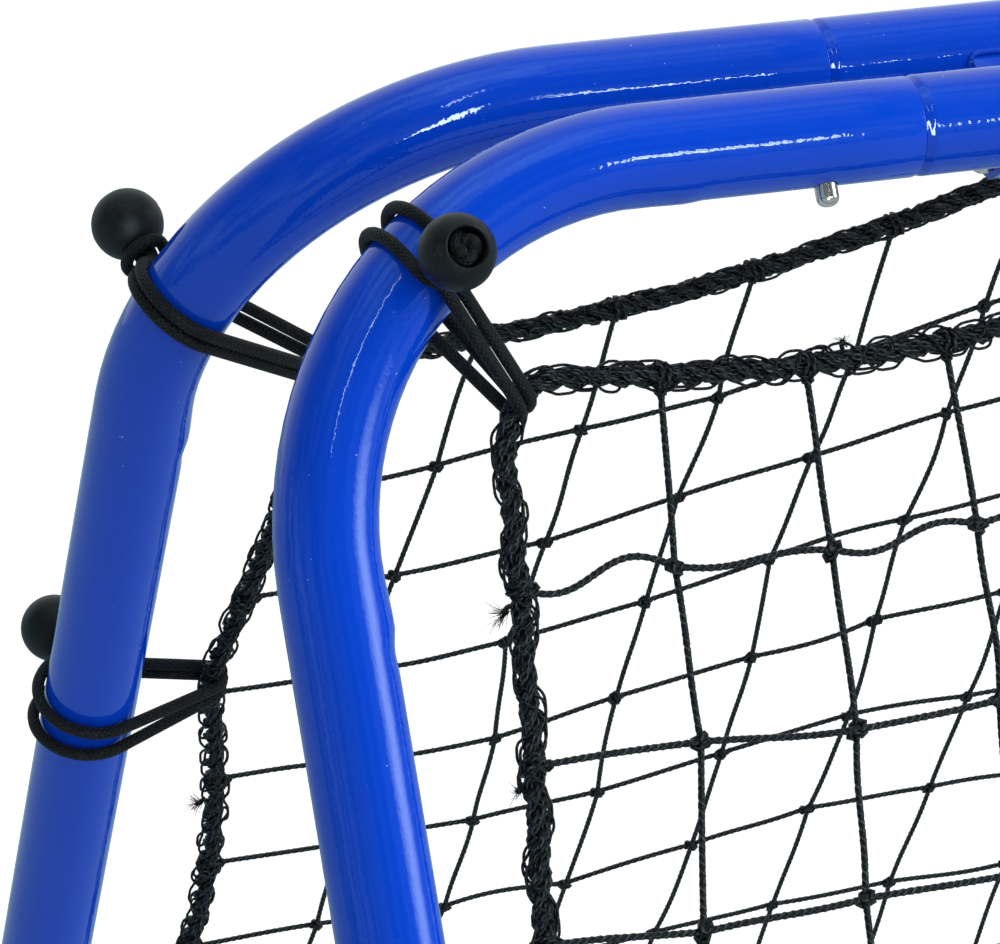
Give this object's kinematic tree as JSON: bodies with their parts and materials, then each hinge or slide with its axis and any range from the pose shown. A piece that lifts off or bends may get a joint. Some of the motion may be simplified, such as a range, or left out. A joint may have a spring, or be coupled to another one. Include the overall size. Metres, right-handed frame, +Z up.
{
  "type": "soccer rebounder",
  "caption": "Double-sided soccer rebounder: two leaning tube frames hinged at the top, each with a knotted net hung by ball bungees.",
  "frame": {"origin": "on the floor, midway between the two bottom rails and halfway along them", "axes": "+X along the rails and the hinge line, +Y from the front frame to the rear frame, +Z up"},
  "size_m": [1.2302, 1.0522, 0.8555],
  "materials": {
    "blue_paint": "gloss",
    "bright_steel": "zinc plated",
    "spring_steel": "blued",
    "black_plastic": "satin",
    "black_cord": "braided",
    "black_twine": "twisted"
  },
  "bodies": {
    "rear_frame": {"bungee_ball_rear_bottom_left": "black_plastic", "bungee_ball_rear_bottom_right": "black_plastic", "bungee_ball_rear_post_left": "black_plastic", "bungee_ball_rear_post_right": "black_plastic", "bungee_ball_rear_top_left": "black_plastic", "bungee_ball_rear_top_right": "black_plastic", "bungee_cord_rear_bottom_left": "black_cord", "bungee_cord_rear_bottom_right": "black_cord", "bungee_cord_rear_post_left": "black_cord", "bungee_cord_rear_post_right": "black_cord", "bungee_cord_rear_top_left": "black_cord", "bungee_cord_rear_top_right": "black_cord", "button_spring_rear_bottom_left": "spring_steel", "button_spring_rear_bottom_right": "spring_steel", "button_spring_rear_top_left": "spring_steel", "button_spring_rear_top_right": "spring_steel", "hinge_bolt_left": "bright_steel", "hinge_bolt_right": "bright_steel", "hinge_bracket_rear_left": "blue_paint", "hinge_bracket_rear_right": "blue_paint", "hinge_nut_left": "bright_steel", "hinge_nut_right": "bright_steel", "rear_border_rope": "black_twine", "rear_bottom_rail": "blue_paint", "rear_net": "black_twine", "rear_side_tube_left": "blue_paint", "rear_side_tube_right": "blue_paint", "rear_top_rail": "blue_paint"},
    "front_frame": {"bungee_ball_front_bottom_left": "black_plastic", "bungee_ball_front_bottom_right": "black_plastic", "bungee_ball_front_post_left": "black_plastic", "bungee_ball_front_post_right": "black_plastic", "bungee_ball_front_top_left": "black_plastic", "bungee_ball_front_top_right": "black_plastic", "bungee_cord_front_bottom_left": "black_cord", "bungee_cord_front_bottom_right": "black_cord", "bungee_cord_front_post_left": "black_cord", "bungee_cord_front_post_right": "black_cord", "bungee_cord_front_top_left": "black_cord", "bungee_cord_front_top_right": "black_cord", "button_spring_front_bottom_left": "spring_steel", "button_spring_front_bottom_right": "spring_steel", "button_spring_front_top_left": "spring_steel", "button_spring_front_top_right": "spring_steel", "front_border_rope": "black_twine", "front_bottom_rail": "blue_paint", "front_net": "black_twine", "front_side_tube_left": "blue_paint", "front_side_tube_right": "blue_paint", "front_top_rail": "blue_paint", "hinge_bracket_front_left": "blue_paint", "hinge_bracket_front_right": "blue_paint"},
    "snap_button_front_bottom_left": {"snap_button_front_bottom_left": "bright_steel"},
    "snap_button_front_bottom_right": {"snap_button_front_bottom_right": "bright_steel"},
    "snap_button_front_top_left": {"snap_button_front_top_left": "bright_steel"},
    "snap_button_front_top_right": {"snap_button_front_top_right": "bright_steel"},
    "snap_button_rear_bottom_left": {"snap_button_rear_bottom_left": "bright_steel"},
    "snap_button_rear_bottom_right": {"snap_button_rear_bottom_right": "bright_steel"},
    "snap_button_rear_top_left": {"snap_button_rear_top_left": "bright_steel"},
    "snap_button_rear_top_right": {"snap_button_rear_top_right": "bright_steel"}
  },
  "joints": [
    {"name": "fold", "type": "hinge", "parent": "rear_frame", "child": "front_frame", "pos_m": [0, 0, 0.80885], "axis": [1, 0, 0], "range_deg": [0, 56]},
    {"name": "press_front_bottom_left", "type": "slide", "parent": "front_frame", "child": "snap_button_front_bottom_left", "axis": [0, -0.4695, -0.8829], "range_m": [0, 0.0107], "stiffness_N_per_m": 400, "springref_m": -0.004, "deforming": ["button_spring_front_bottom_left"]},
    {"name": "press_front_bottom_right", "type": "slide", "parent": "front_frame", "child": "snap_button_front_bottom_right", "axis": [0, -0.4695, -0.8829], "range_m": [0, 0.0107], "stiffness_N_per_m": 400, "springref_m": -0.004, "deforming": ["button_spring_front_bottom_right"]},
    {"name": "press_front_top_left", "type": "slide", "parent": "front_frame", "child": "snap_button_front_top_left", "axis": [0, 0.4695, 0.8829], "range_m": [0, 0.0107], "stiffness_N_per_m": 400, "springref_m": -0.004, "deforming": ["button_spring_front_top_left"]},
    {"name": "press_front_top_right", "type": "slide", "parent": "front_frame", "child": "snap_button_front_top_right", "axis": [0, 0.4695, 0.8829], "range_m": [0, 0.0107], "stiffness_N_per_m": 400, "springref_m": -0.004, "deforming": ["button_spring_front_top_right"]},
    {"name": "press_rear_bottom_left", "type": "slide", "parent": "rear_frame", "child": "snap_button_rear_bottom_left", "axis": [0, 0.4695, -0.8829], "range_m": [0, 0.0107], "stiffness_N_per_m": 400, "springref_m": -0.004, "deforming": ["button_spring_rear_bottom_left"]},
    {"name": "press_rear_bottom_right", "type": "slide", "parent": "rear_frame", "child": "snap_button_rear_bottom_right", "axis": [0, 0.4695, -0.8829], "range_m": [0, 0.0107], "stiffness_N_per_m": 400, "springref_m": -0.004, "deforming": ["button_spring_rear_bottom_right"]},
    {"name": "press_rear_top_left", "type": "slide", "parent": "rear_frame", "child": "snap_button_rear_top_left", "axis": [0, -0.4695, 0.8829], "range_m": [0, 0.0107], "stiffness_N_per_m": 400, "springref_m": -0.004, "deforming": ["button_spring_rear_top_left"]},
    {"name": "press_rear_top_right", "type": "slide", "parent": "rear_frame", "child": "snap_button_rear_top_right", "axis": [0, -0.4695, 0.8829], "range_m": [0, 0.0107], "stiffness_N_per_m": 400, "springref_m": -0.004, "deforming": ["button_spring_rear_top_right"]}
  ]
}
